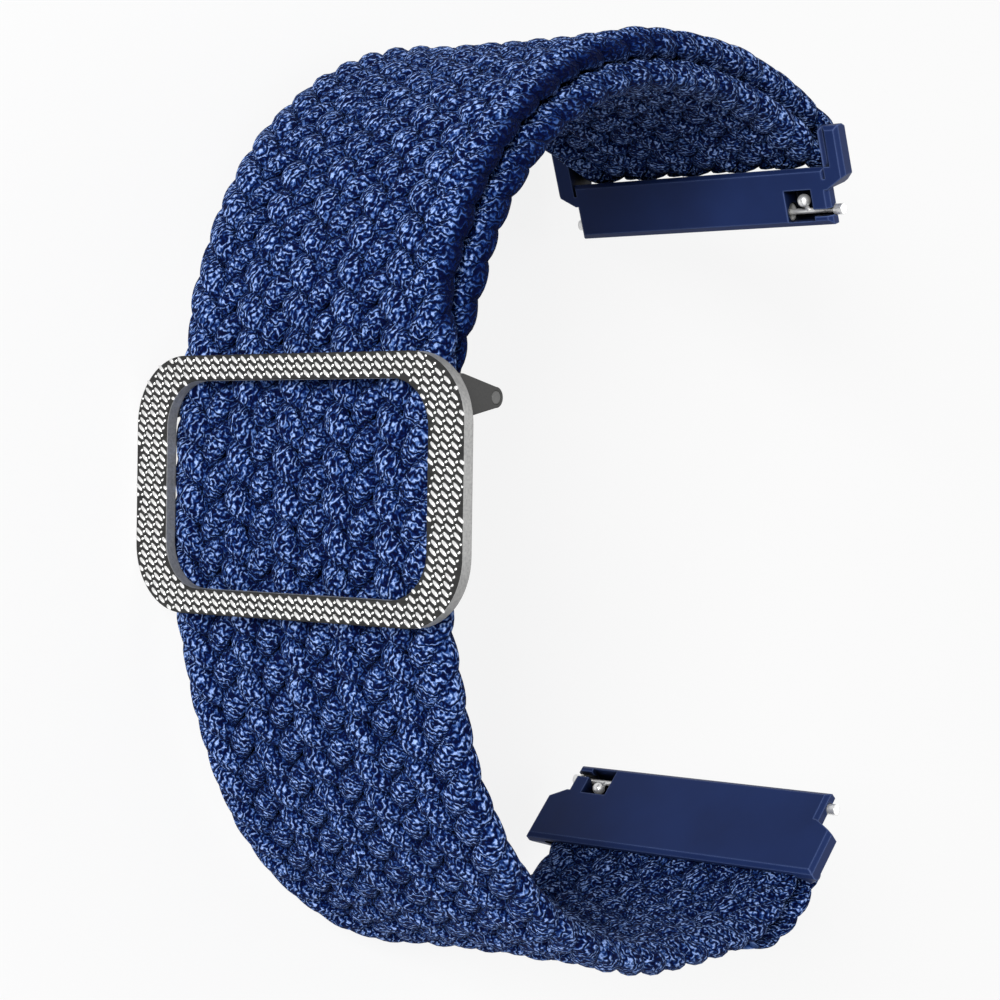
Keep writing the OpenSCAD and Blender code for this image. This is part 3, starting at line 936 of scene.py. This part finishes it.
def floor_material():
    """A pale ground that keeps the strap's shadow, and mostly glows where it is seen directly."""
    g = Graph("pale_floor")
    g.shade({"Base Color": (FLOOR_GREY, FLOOR_GREY, FLOOR_GREY, 1), "Roughness": 0.9})
    glow = g.add("Emission").outputs[0]
    share = g.math("MULTIPLY", seen_directly(g.tree), FLOOR_GLOW)
    mixed = g.add("MixShader", {0: share, 1: g.shader.outputs[0], 2: glow}).outputs[0]
    g.feed(g.tree.nodes["Material Output"].inputs["Surface"], mixed)
    return g.material


def make_floor():
    reach = FLOOR_REACH
    corners = [(-reach, -reach, 0), (reach, -reach, 0), (reach, reach, 0), (-reach, reach, 0)]
    mesh = bpy.data.meshes.new("floor")
    mesh.from_pydata(corners, [], [(0, 1, 2, 3)])
    mesh.materials.append(floor_material())
    floor = add_object("floor", mesh)


def make_world(strength):
    world = bpy.data.worlds.new("studio")
    bpy.context.scene.world = world
    world.use_nodes = True
    tree = world.node_tree
    background = tree.nodes["Background"]
    background.inputs["Color"].default_value = (1, 1, 1, 1)
    gain = tree.nodes.new("ShaderNodeMapRange")
    gain.inputs["To Min"].default_value = strength
    gain.inputs["To Max"].default_value = 1.0
    tree.links.new(seen_directly(tree), gain.inputs["Value"])
    tree.links.new(gain.outputs[0], background.inputs["Strength"])


def make_lamp(name, place, size, watts):
    """A soft square lamp that faces the strap."""
    data = bpy.data.lights.new(name, "AREA")
    data.size = size
    data.energy = watts
    lamp = bpy.data.objects.new(name, data)
    target = Vector((0, 0, MIDDLE_Z * MM))
    lamp.location = place
    lamp.rotation_mode = "QUATERNION"
    lamp.rotation_quaternion = (target - lamp.location).to_track_quat("-Z", "Y")
    bpy.context.scene.collection.objects.link(lamp)


def make_studio():
    make_floor()
    make_world(WORLD_STRENGTH)
    for name, place, size, watts in LAMPS:
        make_lamp(name, place, size, watts)


BLEND_LENGTH = 13.0


def build_braids(route, material):
    braid = Braid(route)
    plan = [
        ("main_braid", route.lower_bar, route.upper_bar, ["main_band"]),
        ("lower_fold_braid", route.lower_end, route.lower_bar, ["lower_fold"]),
        ("upper_fold_braid", route.upper_bar, route.upper_bar_end, ["upper_fold"]),
        ("return_braid", route.upper_bar_end, route.end, ["return_band", "bar_loop"]),
    ]
    made = {}
    for name, s0, s1, nodes in plan:
        piece = braid.piece(name, s0, s1)
        paint(piece, material)
        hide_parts(*nodes)
        made[name] = piece
    for name in ("main_braid", "lower_fold_braid", "upper_fold_braid"):
        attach(made[name], "band")
    held = route.at(np.array([route.loop_start - BLEND_LENGTH, route.loop_start]))[0] * MM
    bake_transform(made["return_braid"])


def build_stitches(route, material):
    tail = stretch_length(LOWER_FOLD[2])
    lower = stitch_row("lower_stitch_row", route, route.lower_end + LOWER_ROW_SHARE * tail, -1)
    loop_tail = stretch_length(LOOP_ROUND_BAR[1])
    loop = stitch_row("loop_stitch_row", route, route.end - LOOP_ROW_SHARE * loop_tail, 1)
    for piece, node, body in ((lower, "lower_stitches", "band"), (loop, "loop_stitches", "buckle")):
        paint(piece, material)
        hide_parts(node)
        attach(piece, body)


def paint_nodes(frame):
    """Gives the construction nodes that stay visible their materials."""
    moulding = moulding_material()
    steel = steel_material("spring_bar_steel", grey=0.9, roughness=0.3, scratch_mm=0.003, metallic=0.7)
    # As dark as the ears, and for the same reason: painted shade in place of polished steel's grey
    bar_steel = steel_material("bar_steel", grey=0.1, roughness=0.35, scratch_mm=0.003)
    for name, node in frame["nodes"].items():
        if name.endswith("_connector"):
            paint(node, moulding)
        elif name.startswith(("upper_", "lower_")) and not node.hide_render:
            paint(node, steel)
    paint(frame["nodes"]["buckle_frame"], frame_material())
    paint(frame["nodes"]["buckle_bar"], bar_steel)


def build_beads():
    beads = buckle_beads()
    paint(beads, steel_material("bead_steel", grey=0.9, roughness=0.14, scratch_mm=0.002))
    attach(beads, "buckle")


def main():
    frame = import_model()
    make_camera()
    make_studio()
    route = Route()
    build_braids(route, braid_material())
    build_stitches(route, thread_material())
    paint_nodes(frame)
    build_beads()
    bpy.context.scene.view_settings.view_transform = "Standard"


main()
